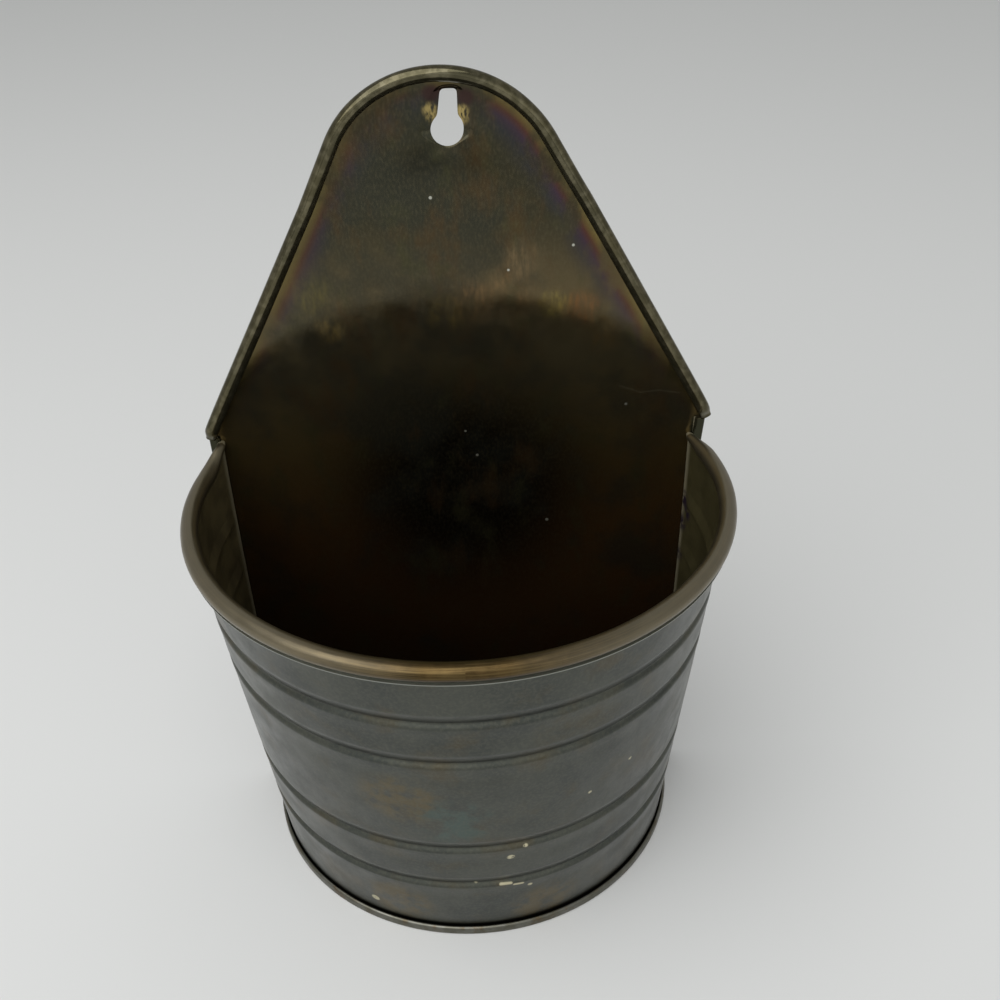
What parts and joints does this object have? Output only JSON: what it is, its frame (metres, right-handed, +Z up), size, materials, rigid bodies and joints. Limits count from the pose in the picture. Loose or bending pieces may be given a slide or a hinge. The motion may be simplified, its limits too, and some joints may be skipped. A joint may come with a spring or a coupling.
{
  "type": "wall planter",
  "caption": "Half-round metal wall planter: tapered pocket with pressed grooves and rolled rim on an arched back plate with a keyhole for hanging.",
  "frame": {"origin": "on the ground plane under the middle of the overall box: the foot and the back plate's lower edge stand on z = 0, and the box is centred on x = 0 and y = 0", "axes": "+Z up, +X to the right when facing the planter, and the pocket faces -Y with the wall behind it on +Y"},
  "size_m": [0.1896, 0.1291, 0.2999],
  "materials": {
    "back_sheet": "antique bronze patina on steel sheet, satin, rubbed to a brass tone in streaks",
    "pocket_sheet": "dark gunmetal and bronze patina on steel sheet, satin, with a worn rim",
    "base_sheet": "dark gunmetal patina on steel sheet, satin",
    "wire": "plain steel wire inside the rolled edges"
  },
  "bodies": {
    "root": {"back_plate": "back_sheet", "back_edge_wire": "wire", "front_shell": "pocket_sheet", "rim_wire": "wire", "base_plate": "base_sheet"}
  },
  "joints": []
}
